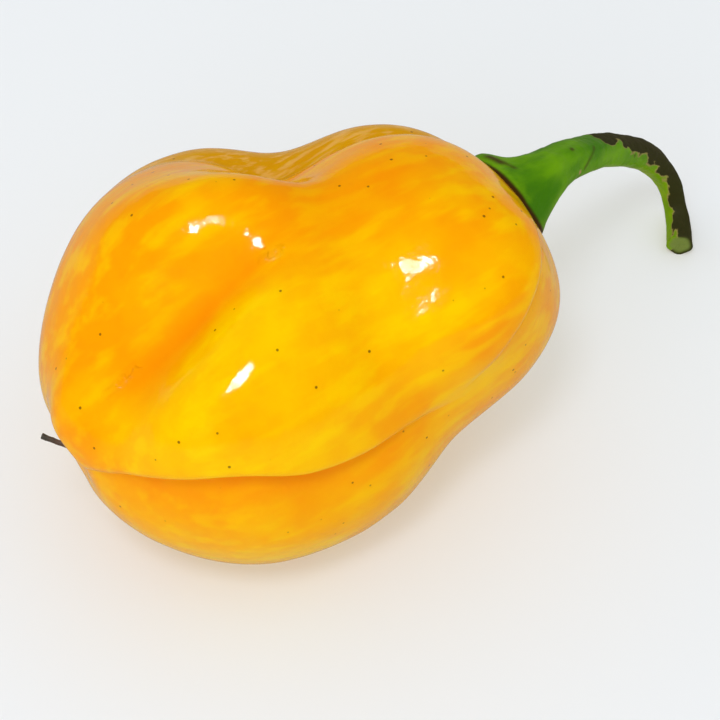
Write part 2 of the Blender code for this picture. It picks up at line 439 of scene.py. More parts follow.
def pinprick_group() -> bpy.types.NodeTree:
    """Small round spots, one in some of the cells that the space is cut into."""
    group, given, result = new_group(
        "pinpricks",
        (("Vector", "NodeSocketVector", None), ("Scale", "NodeSocketFloat", 300.0),
         ("Size", "NodeSocketFloat", 0.04), ("Share", "NodeSocketFloat", 0.1)),
        ("Mask",))
    cells = group.nodes.new("ShaderNodeTexVoronoi")
    cells.feature = "F1"
    dot = group.nodes.new("ShaderNodeMapRange")
    dot.interpolation_type = "SMOOTHSTEP"
    dot.inputs["To Min"].default_value = 1.0
    dot.inputs["To Max"].default_value = 0.0
    chosen = group.nodes.new("ShaderNodeMath")
    chosen.operation = "LESS_THAN"
    split = group.nodes.new("ShaderNodeSeparateColor")
    both = group.nodes.new("ShaderNodeMath")
    both.operation = "MULTIPLY"
    half = group.nodes.new("ShaderNodeMath")
    half.operation = "MULTIPLY"
    half.inputs[1].default_value = 0.45
    links = group.links
    links.new(given.outputs["Vector"], cells.inputs["Vector"])
    links.new(given.outputs["Scale"], cells.inputs["Scale"])
    links.new(cells.outputs["Distance"], dot.inputs["Value"])
    links.new(given.outputs["Size"], half.inputs[0])
    links.new(half.outputs[0], dot.inputs["From Min"])
    links.new(given.outputs["Size"], dot.inputs["From Max"])
    links.new(cells.outputs["Color"], split.inputs["Color"])
    links.new(split.outputs["Red"], chosen.inputs[0])
    links.new(given.outputs["Share"], chosen.inputs[1])
    links.new(dot.outputs["Result"], both.inputs[0])
    links.new(chosen.outputs[0], both.inputs[1])
    links.new(both.outputs[0], result.inputs["Mask"])
    return group


def stroke_group() -> bpy.types.NodeTree:
    """A soft stroke from one place to another: full along its middle line, nothing at its width."""
    group, given, result = new_group(
        "stroke",
        (("Vector", "NodeSocketVector", None), ("From", "NodeSocketVector", None),
         ("To", "NodeSocketVector", None), ("Width", "NodeSocketFloat", 0.0005)),
        ("Mask",))
    links = group.links

    def vector_node(operation: str) -> bpy.types.Node:
        """Add a vector sum of a kind."""
        node = group.nodes.new("ShaderNodeVectorMath")
        node.operation = operation
        return node

    whole, part, across = vector_node("SUBTRACT"), vector_node("SUBTRACT"), vector_node("SCALE")
    lengthwise, square = vector_node("DOT_PRODUCT"), vector_node("DOT_PRODUCT")
    miss = vector_node("DISTANCE")
    share = group.nodes.new("ShaderNodeMath")
    share.operation = "DIVIDE"
    share.use_clamp = True
    fall = group.nodes.new("ShaderNodeMapRange")
    fall.interpolation_type = "SMOOTHSTEP"
    fall.inputs["To Min"].default_value = 1.0
    fall.inputs["To Max"].default_value = 0.0
    links.new(given.outputs["To"], whole.inputs[0])
    links.new(given.outputs["From"], whole.inputs[1])
    links.new(given.outputs["Vector"], part.inputs[0])
    links.new(given.outputs["From"], part.inputs[1])
    for target, second in ((lengthwise, part), (square, whole)):
        links.new(whole.outputs[0], target.inputs[0])
        links.new(second.outputs[0], target.inputs[1])
    links.new(lengthwise.outputs["Value"], share.inputs[0])
    links.new(square.outputs["Value"], share.inputs[1])
    links.new(whole.outputs[0], across.inputs[0])
    links.new(share.outputs[0], across.inputs["Scale"])
    links.new(across.outputs[0], miss.inputs[0])
    links.new(part.outputs[0], miss.inputs[1])
    links.new(miss.outputs["Value"], fall.inputs["Value"])
    links.new(given.outputs["Width"], fall.inputs["From Max"])
    links.new(fall.outputs["Result"], result.inputs["Mask"])
    return group


@dataclass(frozen=True)
class Effects:
    """The node groups that the finishes share."""

    mottle: bpy.types.NodeTree
    pinpricks: bpy.types.NodeTree
    stroke: bpy.types.NodeTree


@dataclass(frozen=True)
class PodFinish:
    """Waxy yellow skin with pinprick specks, painted deeper orange in the furrows as shade, and on the far lobe
    painted ochre as shade with pale streaks of painted reflection.
    """

    yellow: tuple = linear("F6C000")
    lemon: tuple = linear("F8D400")
    amber: tuple = linear("F39A00")
    # the orange of the real mottle and of the painted shade in the furrows
    orange: tuple = linear("EE8000")
    # the ochre of the painted shade on the far lobe
    ochre: tuple = linear("CC9004")
    # the pale of the painted reflection streaks on the far lobe
    pale: tuple = linear("F0BC70")
    speck: tuple = linear("5A2E08")
    streak_tilt: float = -12.0  # how far the streaks are turned about Y, in degrees
    streak_stretch: tuple = (4.5, 1.0, 1.0)
    cloud_share: float = 0.55
    streak_share: float = 0.38
    mottle_share: float = 0.14
    reflection_streak_share: float = 0.45
    speck_share: float = 0.85
    wave_height: float = 0.000036
    wrinkle_height: float = 0.00018
    wrinkle_width: float = 0.0007
    pore_height: float = 0.0000012
    smoothest: float = 0.035
    roughest: float = 0.075
    wax_ior: float = 1.22
    flesh_share: float = 0.15
    flesh_depth: float = 0.0015
    flesh_reach: tuple = (1.0, 0.45, 0.05)
    # from where to where each fine wrinkle in the skin runs, from the pod's middle
    wrinkles: tuple = (
        ((-0.0207, -0.0043, 0.0062), (-0.0174, -0.0041, 0.0081)),
        ((-0.0044, -0.0038, 0.0153), (-0.0025, -0.0040, 0.0160)),
    )

    def material(self, effects: Effects, middle: Vector) -> bpy.types.Material:
        """Build the skin's material.

        Args:
            effects: the shared node groups.
            middle: the pod's middle.

        Returns:
            The material.
        """
        board = Board("pod_skin")
        lengthwise = board.stretched(self.streak_tilt, self.streak_stretch)
        broad = board.group(effects.mottle, Scale=110.0, Detail=2.0, Low=0.36, High=0.64)
        streaks = board.group(effects.mottle, lengthwise, Scale=480.0, Detail=3.0, Low=0.44, High=0.68)
        reflection_streaks = board.group(effects.mottle, lengthwise, Scale=1300.0, Detail=3.0, Low=0.48, High=0.66)
        fine = board.group(effects.mottle, Scale=520.0, Detail=4.0, Low=0.35, High=0.7)
        clouds = board.sum(board.sum(broad, 0.5, "SUBTRACT"), self.cloud_share, "MULTIPLY")
        warm = board.sum(board.painted("warm"), clouds, "ADD", clamp=True)
        colour = board.blend(warm, self.yellow, self.amber)
        colour = board.blend(board.sum(streaks, self.streak_share, "MULTIPLY"), colour, self.lemon)
        colour = board.blend(board.sum(fine, self.mottle_share, "MULTIPLY"), colour, self.orange)
        # painted shade: deeper orange in the valley and under the crease, together with the real blush patch
        colour = board.blend(board.painted("furrow"), colour, self.orange)
        # painted shade: the far lobe is painted ochre
        shade = board.painted("shade")
        colour = board.blend(shade, colour, self.ochre)
        # painted reflection: pale streaks on the far lobe, where its gloss would mirror the bright surroundings
        # at a grazing angle
        far_reflection_streaks = board.sum(reflection_streaks, shade, "MULTIPLY")
        colour = board.blend(board.sum(far_reflection_streaks, self.reflection_streak_share, "MULTIPLY"), colour, self.pale)
        small = board.group(effects.pinpricks, Scale=480.0, Size=0.09, Share=0.8)
        colour = board.blend(board.sum(small, self.speck_share, "MULTIPLY"), colour, self.speck)
        board.join(colour, board.shader.inputs["Base Color"])
        pores = board.group(effects.mottle, Scale=2600.0, Detail=2.0, Low=0.3, High=0.7)
        waves = board.group(effects.mottle, Scale=420.0, Detail=3.0, Low=0.2, High=0.8)
        normal = board.bump(waves, self.wave_height)
        beads = board.group(effects.mottle, Scale=900.0, Detail=1.0, Low=0.36, High=0.56)
        for start, end in self.wrinkles:
            wrinkle = board.group(effects.stroke, From=Vector(start) + middle, To=Vector(end) + middle,
                                  Width=self.wrinkle_width)
            normal = board.bump(board.sum(wrinkle, beads, "MULTIPLY"), self.wrinkle_height, normal)
        normal = board.bump(pores, self.pore_height, normal)
        board.join(normal, board.shader.inputs["Normal"])
        roughness = board.span(fine, 0.0, 1.0, self.smoothest, self.roughest)
        board.join(roughness, board.shader.inputs["Roughness"])
        board.shader.inputs["IOR"].default_value = self.wax_ior
        board.shader.inputs["Subsurface Weight"].default_value = self.flesh_share
        board.shader.inputs["Subsurface Scale"].default_value = self.flesh_depth
        board.shader.inputs["Subsurface Radius"].default_value = self.flesh_reach
        return board.material


@dataclass(frozen=True)
class StalkFinish:
    """Fleshy green with darker mottling, dark dried patches and a brown rim at the pod."""

    green: tuple = linear("6A9C04")
    light: tuple = linear("8CAA08")
    deep: tuple = linear("3E7406")
    dried: tuple = linear("24260C")
    tan: tuple = linear("A8835A")
    cut: tuple = linear("70803A")
    scar: tuple = linear("3A2408")
    mottle_share: float = 0.35
    torn_reach: float = 0.34
    grain_height: float = 0.00004
    skin_ior: float = 1.12
    flesh_share: float = 0.08
    flesh_depth: float = 0.0008
    flesh_reach: tuple = (0.5, 1.0, 0.2)
    # from where to where each dark mark runs, as the stalk's stations are measured, its width and its strength
    scars: tuple = (
        ((0.0233, 0.0026, 0.0286), (0.0238, 0.0014, 0.0288), 0.0010, 0.95),
        ((0.0321, 0.0018, 0.0261), (0.0323, 0.0019, 0.0260), 0.0004, 0.85),
        ((0.0243, 0.0010, 0.0290), (0.0246, 0.0002, 0.0288), 0.0006, 0.6),
        ((0.0355, 0.0029, 0.0237), (0.0333, 0.0009, 0.0237), 0.0004, 0.6),
        ((0.0428, 0.0062, 0.0159), (0.0429, 0.0062, 0.0158), 0.0004, 0.6),
    )
    fleck_at: tuple = (0.0324, 0.0004, 0.0240)
    fleck_to: tuple = (0.0325, 0.0004, 0.0240)
    fleck_width: float = 0.0004

    def material(self, effects: Effects, under: Vector) -> bpy.types.Material:
        """Build the stalk's material.

        Args:
            effects: the shared node groups.
            under: the place on the floor under the pod's middle.

        Returns:
            The material.
        """
        board = Board("green_stalk")
        unrolled = board.add("ShaderNodeAttribute", attribute_name="unrolled").outputs["Vector"]
        broad = board.group(effects.mottle, unrolled, Scale=260.0, Detail=4.0, Low=0.38, High=0.66)
        fine = board.group(effects.mottle, unrolled, Scale=900.0, Detail=4.0, Low=0.3, High=0.75)
        colour = board.blend(broad, self.green, self.deep)
        colour = board.blend(board.painted("light"), colour, self.light)
        colour = board.blend(board.sum(fine, self.mottle_share, "MULTIPLY"), colour, self.deep)
        torn = board.group(effects.mottle, unrolled, Scale=620.0, Detail=4.0, Low=0.25, High=0.75)
        torn = board.span(torn, 0.0, 1.0, -self.torn_reach, self.torn_reach)
        ragged = board.sum(board.painted("dried"), torn, "ADD")
        for start, end, width, share in self.scars:
            stroke = board.group(effects.stroke, From=Vector(start) + under, To=Vector(end) + under,
                                 Width=width)
            colour = board.blend(board.sum(stroke, share, "MULTIPLY"), colour, self.scar)
        fleck = board.group(effects.stroke, From=Vector(self.fleck_at) + under, To=Vector(self.fleck_to) + under,
                            Width=self.fleck_width)
        colour = board.blend(fleck, colour, self.tan)
        colour = board.blend(board.span(ragged, 0.36, 0.48, 0.0, 0.6), colour, self.tan)
        colour = board.blend(board.span(ragged, 0.44, 0.58, 0.0, 0.95), colour, self.dried)
        colour = board.blend(board.span(board.painted("rim"), 0.2, 0.75), colour, self.scar)
        colour = board.blend(board.painted("cut"), colour, self.cut)
        board.join(colour, board.shader.inputs["Base Color"])
        board.join(board.span(ragged, 0.35, 0.6, 0.38, 0.62), board.shader.inputs["Roughness"])
        grain = board.group(effects.mottle, unrolled, Scale=1500.0, Detail=3.0, Low=0.2, High=0.8)
        board.join(board.bump(grain, self.grain_height), board.shader.inputs["Normal"])
        board.shader.inputs["Subsurface Weight"].default_value = self.flesh_share
        board.shader.inputs["Subsurface Scale"].default_value = self.flesh_depth
        board.shader.inputs["Subsurface Radius"].default_value = self.flesh_reach
        board.shader.inputs["IOR"].default_value = self.skin_ior
        return board.material


@dataclass(frozen=True)
class StyleFinish:
    """Dry shrivelled brown, tan at its root and darkest at its end."""

    tan: tuple = linear("B87A34")
    brown: tuple = linear("4A2E16")
    dark: tuple = linear("2C2A1C")
    mottle_share: float = 0.4
    grain_height: float = 0.00004

    def material(self, effects: Effects) -> bpy.types.Material:
        """Build the style's material.

        Args:
            effects: the shared node groups.

        Returns:
            The material.
        """
        board = Board("dried_style")
        fine = board.group(effects.mottle, Scale=3000.0, Detail=4.0, Low=0.3, High=0.7)
        colour = board.blend(board.span(board.painted("run"), 0.12, 0.5), self.tan, self.brown)
        colour = board.blend(board.span(board.painted("run"), 0.6, 0.95), colour, self.dark)
        colour = board.blend(board.sum(fine, self.mottle_share, "MULTIPLY"), colour, self.dark)
        board.join(colour, board.shader.inputs["Base Color"])
        board.join(board.span(fine, 0.0, 1.0, 0.7, 0.9), board.shader.inputs["Roughness"])
        board.join(board.bump(fine, self.grain_height), board.shader.inputs["Normal"])
        return board.material


@dataclass(frozen=True)
class FloorFinish:
    """Plain matt pale board, with a faint glow that keeps shadows on it soft and warm.

    The gloss of the pieces mirrors it dimmer and warmer than the camera sees it.
    """

    pale: tuple = (0.50, 0.545, 0.655, 1.0)
    glow: tuple = (0.33, 0.295, 0.19, 1.0)
    mirrored: tuple = (1.0, 0.64, 0.20, 1.0)
    mirrored_strength: float = 0.40
    mirrored_share: float = 0.65
    roughness: float = 0.9
    gloss: float = 0.1

    def material(self) -> bpy.types.Material:
        """Build the floor's material."""
        board = Board("pale_floor")
        board.shader.inputs["Base Color"].default_value = self.pale
        board.shader.inputs["Emission Color"].default_value = self.glow
        board.shader.inputs["Emission Strength"].default_value = 1.0
        board.shader.inputs["Roughness"].default_value = self.roughness
        board.shader.inputs["Specular IOR Level"].default_value = self.gloss
        seen_in_gloss = board.add("ShaderNodeEmission")
        seen_in_gloss.inputs["Color"].default_value = self.mirrored
        seen_in_gloss.inputs["Strength"].default_value = self.mirrored_strength
        ray = board.add("ShaderNodeLightPath")
        either = board.add("ShaderNodeMixShader")
        board.join(board.sum(ray.outputs["Is Glossy Ray"], self.mirrored_share, "MULTIPLY"), either.inputs[0])
        board.join(board.shader.outputs[0], either.inputs[1])
        board.join(seen_in_gloss.outputs[0], either.inputs[2])
        board.join(either.outputs[0], board.tree.nodes["Material Output"].inputs["Surface"])
        return board.material


SWELLS = {
    "belly": Swell(58.0, 0.0, 0.0007, 22.0, ALL_ROUND),
    "waist": Swell(118.0, 0.0, -0.0018, 18.0, ALL_ROUND),
    "saddle": Swell(114.0, 68.0, -0.0050, 34.0, 36.0),
    "far_crown": Swell(88.0, 110.0, 0.0022, 30.0, 24.0),
    "tip_dimple": Swell(0.0, 0.0, -0.0014, 8.0, ALL_ROUND),
    "tip_fold": Swell(21.0, 20.0, 0.0016, 10.0, 28.0),
    "near_ridge": Swell(97.0, 43.0, 0.0015, 28.0, 16.0),
    "near_flank": Swell(121.0, -32.0, 0.0018, 18.0, 16.0),
    "far_waist": Swell(120.0, 112.0, -0.0004, 25.0, 25.0),
    "low_shoulder": Swell(155.0, -80.0, 0.0020, 20.0, 60.0),
    "near_belly": Swell(50.0, -14.0, 0.0018, 24.0, 24.0),
    "near_waist": Swell(104.0, -25.0, -0.0012, 16.0, 32.0),
    "near_shoulder": Swell(138.0, -18.0, 0.0034, 18.0, 30.0),
    "crown": Swell(82.0, 50.0, 0.0014, 24.0, 24.0),
    "blossom_flat": Swell(35.0, 60.0, -0.0010, 22.0, 45.0),
    "near_foot": Swell(78.0, -114.0, 0.0017, 40.0, 26.0),
    "far_foot": Swell(78.0, -176.0, 0.0008, 34.0, 26.0),
}

FRONT_CREASE = Furrow(
    ((12, -29, 0.0004), (31, -29, 0.0016), (42, -31, 0.0021), (55, -35, 0.0025), (71, -45, 0.0025),
     (84, -49, 0.0019), (101, -52, 0.0008), (119, -56, 0.0001), (145, -60, 0.0), (172, -80, 0.0)),
    0.0052, 0.0006, 1.4)

NEAR_VALLEY = Furrow(
    ((14, 4, 0.0002), (25, 6, 0.0013), (36, 9, 0.0033), (47, 12, 0.0050), (60, 16, 0.0055), (75, 20, 0.0046),
     (90, 21, 0.0028), (105, 22, 0.0014), (125, 24, 0.0006), (150, 24, 0.0002)),
    0.0052, 0.0084, 2.0)

FURROWS = {
    "front_crease": FRONT_CREASE,
    "near_valley": NEAR_VALLEY,
    "shoulder_fold": Furrow(
        ((120, -52, 0.0001), (128, -46, 0.0004), (133, -40, 0.0008), (139, -33, 0.0011), (146, -26, 0.0012),
         (156, -20, 0.0008), (166, -17, 0.0002)),
        0.0054, 0.0006, 1.4),
    "top_valley": Furrow(
        ((30, 100, 0.0001), (60, 97, 0.0002), (83, 95, 0.0005), (92, 93, 0.0009), (103, 90, 0.0016),
         (120, 88, 0.0016), (145, 80, 0.0014), (165, 78, 0.0008)),
        0.0026, 0.0018, 1.3),
    "far_valley": Furrow(
        ((20, 160, 0.0004), (60, 158, 0.0015), (90, 155, 0.0018), (120, 152, 0.0015), (160, 150, 0.0008)),
        0.0040, 0.0040, 1.8),
    "under_valley": Furrow(
        ((20, -130, 0.0004), (50, -138, 0.0020), (90, -143, 0.0030), (130, -140, 0.0018), (160, -130, 0.0008)),
        0.0046, 0.0046, 1.8),
}


# low relief, too slight for the solids, that shapes the highlights
BELLY_FLAT = Swell(65.6, -6.9, -0.00009, 4.6, 5.0)
FLANK_FOLD = Furrow(
    ((90, -19, 0.0), (101, -21, -0.00014), (110, -22.5, -0.00040), (118, -23.5, -0.00054),
     (126, -25, -0.00040), (136, -27, 0.0)),
    0.0022, 0.0024, 2.0)


@dataclass
class Pod:
    """The fruit: a lobed, furrowed bag with a waxy skin."""

    half_length: float = 0.0246
    half_width: float = 0.0196
    fullness: float = 2.2
    lean: float = 34.5
    tilt: float = 12.0
    turns: int = 336
    rings: int = 232
    crease_column: float = -50.0  # the column of faces that follows the front crease
    crease_pull: float = 40.0  # how far to each side its neighbours are drawn along, in degrees
    ripples: tuple[Ripple, ...] = (Ripple(0.009, 0.00016), Ripple(0.004, 0.00006), Ripple(0.0018, 0.000012))
    seed: float = 3.1
    blush: Patch = Patch(122.0, 38.0, 24.0, 24.0)
    belly: Patch = Patch(78.0, -6.0, 42.0, 38.0)
    low_lobe: Patch = Patch(70.0, -78.0, 36.0, 24.0)
    # how strongly the painted shade in the valley and under the crease comes through
    valley_shade_share: float = 0.85
    crease_shade_share: float = 1.0
    blush_tint: float = 0.4
    warmth: float = 0.95
    belly_cooling: float = 0.9
    low_lobe_cooling: float = 0.75
    # how strongly the far lobe is painted ochre as shade
    far_shade: float = 0.85
    middle: Vector = field(default_factory=Vector)

    def direction(self, along: np.ndarray, around: np.ndarray) -> np.ndarray:
        """Find the unit directions at two angles.

        Args:
            along: degrees from the blossom end to the stalk end.
            around: degrees round the pod.

        Returns:
            The directions in the pod's own frame.
        """
        along = np.radians(along)
        around = np.radians(around - self.lean)
        girth = np.sin(along)
        return np.stack([-np.cos(along), girth * np.sin(around), girth * np.cos(around)], axis=1)

    def angles(self, ways: np.ndarray) -> tuple[np.ndarray, np.ndarray]:
        """Find the two angles of unit directions.

        Args:
            ways: the directions in the pod's own frame.

        Returns:
            Degrees along the pod and degrees round it.
        """
        along = np.degrees(np.arccos(np.clip(-ways[:, 0], -1.0, 1.0)))
        lean = math.radians(self.lean)
        to_ridge = ways[:, 2] * math.cos(lean) - ways[:, 1] * math.sin(lean)
        to_crown = ways[:, 2] * math.sin(lean) + ways[:, 1] * math.cos(lean)
        return along, np.degrees(np.arctan2(to_crown, to_ridge))

    def swell_height(self, swell: Swell, along: np.ndarray, around: np.ndarray) -> np.ndarray:
        """How far a swell lifts the wall at each place."""
        lengthwise = (along - swell.along) / swell.length
        crosswise = angle_between(around, swell.around) / swell.width
        return swell.height * np.exp(-(lengthwise**2) - crosswise**2)

    def furrow_depth(self, furrow: Furrow, along: np.ndarray, around: np.ndarray,
                     reach: np.ndarray) -> np.ndarray:
        """Find how deep a furrow cuts the wall.

        Args:
            furrow: the furrow.
            along: degrees along the pod of each place.
            around: degrees round it.
            reach: how far the wall is from the pod's middle there.

        Returns:
            The depth at each place.
        """
        stations = np.array(furrow.course).T
        course = smooth_through(stations[0], stations[1], along)
        depth = smooth_through(stations[0], stations[2], along)
        aside = np.radians(angle_between(around, course)) * np.sin(np.radians(along)) * reach
        spread = np.where(aside < 0, furrow.reach_before, furrow.reach_after)
        fade = np.clip(along / stations[0][0], 0, 1)
        fade = fade * np.clip((180.0 - along) / (180.0 - stations[0][-1]), 0, 1)
        return depth * fade * np.exp(-np.abs(aside / spread) ** furrow.roundness)

    def reach(self, ways: np.ndarray) -> np.ndarray:
        """Find how far the wall lies from the pod's middle.

        Args:
            ways: unit directions in the pod's own frame.

        Returns:
            The distance along each of them.
        """
        along, around = self.angles(ways)
        lengthwise = np.abs(ways[:, 0] / self.half_length) ** self.fullness
        crosswise = (np.sqrt(ways[:, 1] ** 2 + ways[:, 2] ** 2) / self.half_width) ** self.fullness
        reach = (lengthwise + crosswise) ** (-1.0 / self.fullness)
        for swell in SWELLS.values():
            reach = reach + self.swell_height(swell, along, around)
        reach = reach + self.swell_height(BELLY_FLAT, along, around)
        furrows = (*FURROWS.values(), FLANK_FOLD)
        return reach - sum(self.furrow_depth(furrow, along, around, reach) for furrow in furrows)

    def tilted(self, points: np.ndarray) -> np.ndarray:
        """Turn points from the pod's own frame so that its stalk end stands higher."""
        tilt = math.radians(self.tilt)
        x = points[:, 0] * math.cos(tilt) - points[:, 2] * math.sin(tilt)
        z = points[:, 0] * math.sin(tilt) + points[:, 2] * math.cos(tilt)
        return np.stack([x, points[:, 1], z], axis=1)

    def upright(self, points: np.ndarray) -> np.ndarray:
        """Turn points back into the pod's own frame."""
        tilt = math.radians(self.tilt)
        x = points[:, 0] * math.cos(tilt) + points[:, 2] * math.sin(tilt)
        z = -points[:, 0] * math.sin(tilt) + points[:, 2] * math.cos(tilt)
        return np.stack([x, points[:, 1], z], axis=1)

    def lift_over(self, points: np.ndarray) -> np.ndarray:
        """How far points in the scene lie outside the pod's wall."""
        inner = self.upright(points - np.array(self.middle))
        far = np.linalg.norm(inner, axis=1)
        return far - self.reach(inner / far[:, None])

    def wall(self, along: np.ndarray, around: np.ndarray) -> np.ndarray:
        """Places on the pod's wall, from its middle, with its fine unevenness.

        Args:
            along: from pole to pole, 0 to 1.
            around: round the pod, in radians.

        Returns:
            The places, turned as the pod lies.
        """
        degrees = along * 180.0
        column = self.crease_column - np.degrees(around)
        stations = np.array(FRONT_CREASE.course).T
        shift = smooth_through(stations[0], stations[1], degrees) - self.crease_column
        aside = angle_between(column, self.crease_column)
        ways = self.direction(degrees, column + shift * np.exp(-((aside / self.crease_pull) ** 2)))
        smooth = ways * self.reach(ways)[:, None]
        return self.tilted(smooth + ways * unevenness(smooth, self.ripples, self.seed)[:, None])

    def build(self) -> bpy.types.Object:
        """Build the pod where its solid lies, pressed flat where it touches the surface.

        Returns:
            The pod.
        """
        low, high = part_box("pod")
        piece = drawn_ball("pod_skin_mesh", self.turns, self.rings, self.wall)
        points = vertex_places(piece)
        box_middle = (points.min(0) + points.max(0)) / 2.0
        height = high.z - points[:, 2].max()
        node_middle = (low + high) / 2
        self.middle = Vector((node_middle.x - box_middle[0], node_middle.y - box_middle[1], height))
        placed = points + np.array(self.middle)
        placed[:, 2] = np.maximum(placed[:, 2], 0.0)
        piece.data.vertices.foreach_set("co", placed.astype(np.float32).ravel())
        piece.data.update()
        self.shade(piece, points)
        return piece

    def shade(self, piece: bpy.types.Object, points: np.ndarray) -> None:
        """Keep the masks that the skin's colours follow.

        Args:
            piece: the pod.
            points: its vertices' places from its middle.
        """
        inner = self.upright(points)
        ways = inner / np.linalg.norm(inner, axis=1)[:, None]
        along, around = self.angles(ways)
        reach = self.reach(ways)
        # painted shade: the near valley and the hollow under the front crease are painted deeper orange as
        # shade; the blush patch added to the same mask is real colour
        valley_shade_spread = NEAR_VALLEY._replace(reach_before=0.0016, reach_after=0.0030, roundness=1.5)
        valley = self.furrow_depth(valley_shade_spread, along, around, reach) / 0.0056
        under = FRONT_CREASE._replace(reach_before=0.0045, reach_after=0.0004, roundness=1.2)
        crease = self.furrow_depth(under, along, around, reach) / 0.0025
        furrow = self.valley_shade_share * valley + self.crease_shade_share * crease
        paint(piece, "furrow", np.clip(furrow + self.blush_tint * self.blush.mask(along, around), 0.0, 1.0))
        cooling = self.belly_cooling * self.belly.mask(along, around)
        cooling = cooling + self.low_lobe_cooling * self.low_lobe.mask(along, around)
        paint(piece, "warm", self.warmth - cooling)
        # painted shade: the far lobe past the top valley, which turns away from the light, is painted ochre
        stations = np.array(FURROWS["top_valley"].course).T
        past = angle_between(around, smooth_through(stations[0], stations[1], along))
        far = smooth_step(-12.0, 0.0, past) * smooth_step(46.0, 14.0, past) * smooth_step(55.0, 85.0, along)
        paint(piece, "shade", self.far_shade * far)

    def dress(self, piece: bpy.types.Object, effects: Effects) -> None:
        """Give the pod its skin, hide the solid it stands for and hang it on the root body."""
        piece.data.materials.append(PodFinish().material(effects, self.middle))
        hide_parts("pod")
        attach(piece, "root")


class Rod:
    """A rod of changing thickness along a smooth middle line."""

    def __init__(self, stations: tuple[Station, ...], start: Vector, rings: int, cap_rings: int) -> None:
        """Set the rod out.

        Args:
            stations: its places and radii, from start.
            start: what the stations are measured from.
            rings: how many rows of faces it has from end to end.
            cap_rings: how many of them each end's cap has.
        """
        line = np.array(stations, float)
        line[:, :3] += np.array(start)
        steps = np.linalg.norm(np.diff(line[:, :3], axis=0), axis=1)
        self.places = np.concatenate([[0.0], np.cumsum(steps)])
        self.line = line
        self.rings = rings
        self.cap_rings = cap_rings
        self.length = self.places[-1]

    def softened(self, values: np.ndarray, run: np.ndarray, share: float = 0.05) -> np.ndarray:
        """Read the stations' values along the rod, rounded off.

        Args:
            values: one value for each station.
            run: lengths along the rod, evenly rising.
            share: how much of the rod the rounding reaches over to each side.

        Returns:
            The values at those lengths.
        """
        line = smooth_through(self.places, values, run)
        reach = int(len(run) * share)
        weights = np.hanning(2 * reach + 3)[1:-1]
        padded = np.pad(line, reach, mode="reflect", reflect_type="odd")
        return np.convolve(padded, weights / weights.sum(), "valid")

    def frames(self, run: np.ndarray) -> tuple[np.ndarray, np.ndarray, np.ndarray, np.ndarray]:
        """The middle line's places and directions, and two directions across it that don't twist.

        Args:
            run: lengths along the rod, rising.

        Returns:
            The places, the directions along, and the two directions across.
        """
        middle = np.stack([self.softened(self.line[:, k], run) for k in range(3)], axis=1)
        ahead = np.gradient(middle, run, axis=0)
        ahead /= np.linalg.norm(ahead, axis=1)[:, None]
        side = [np.cross(ahead[0], (0.0, 0.0, 1.0))]
        for way in ahead:
            carried = side[-1] - way * np.dot(side[-1], way)
            side.append(carried / np.linalg.norm(carried))
        side = np.array(side[1:])
        return middle, ahead, side, np.cross(side, ahead)

    def shape(self, along: np.ndarray, around: np.ndarray, relief: Callable, sink: float) -> tuple:
        """Place vertices on the rod.

        Args:
            along: from end to end, 0 to 1, caps included.
            around: round the rod, in radians.
            relief: gives a factor for the radius from the length along and the angle round.
            sink: how deep the middle of the far cap is sunk.

        Returns:
            The places, the lengths along the rod, and how far out on the far cap each one is.
        """
        ring = np.rint(along * self.rings).astype(int)
        body = (np.arange(self.rings + 1) - self.cap_rings) / (self.rings - 2 * self.cap_rings)
        steps = np.linspace(0.0, self.length, self.rings - 2 * self.cap_rings + 1)
        middle, ahead, side, up = self.frames(steps)
        at = np.clip(np.rint(np.clip(body, 0, 1) * (len(steps) - 1)).astype(int), 0, len(steps) - 1)[ring]
        run = steps[at]
        near_cap = np.clip(ring / self.cap_rings, 0, 1)
        far_cap = np.clip((self.rings - ring) / self.cap_rings, 0, 1)
        radius = self.softened(self.line[:, 3], steps, share=0.04)[at] * relief(run, around)
        radius = radius * near_cap * far_cap
        out = side[at] * np.cos(around)[:, None] + up[at] * np.sin(around)[:, None]
        places = middle[at] + out * radius[:, None]
        places -= ahead[at] * (sink * (1.0 - far_cap**2))[:, None]
        return places, run, far_cap


# x and y from the pod's middle, z from the surface the chilli lies on
CALYX_AND_STALK = (
    Station(0.0224, 0.0000, 0.0243, 0.00500),
    Station(0.0240, 0.0000, 0.0247, 0.00525),
    Station(0.0247, 0.0000, 0.0249, 0.00490),
    Station(0.0253, 0.0000, 0.0251, 0.00400),
    Station(0.0269, 0.0002, 0.0254, 0.00300),
    Station(0.0293, 0.0013, 0.0250, 0.00232),
    Station(0.0342, 0.0036, 0.0224, 0.00190),
    Station(0.0375, 0.0052, 0.0200, 0.00175),
    Station(0.0409, 0.0070, 0.0168, 0.00168),
    Station(0.0440, 0.0084, 0.0137, 0.00164),
    Station(0.0465, 0.0093, 0.0109, 0.00152),
    Station(0.0485, 0.0097, 0.0080, 0.00138),
    Station(0.0501, 0.0094, 0.0048, 0.00127),
    Station(0.0503, 0.0084, 0.0024, 0.00118),
    Station(0.0497, 0.0066, 0.0014, 0.00123),
    Station(0.0483, 0.0042, 0.0014, 0.00137),
)


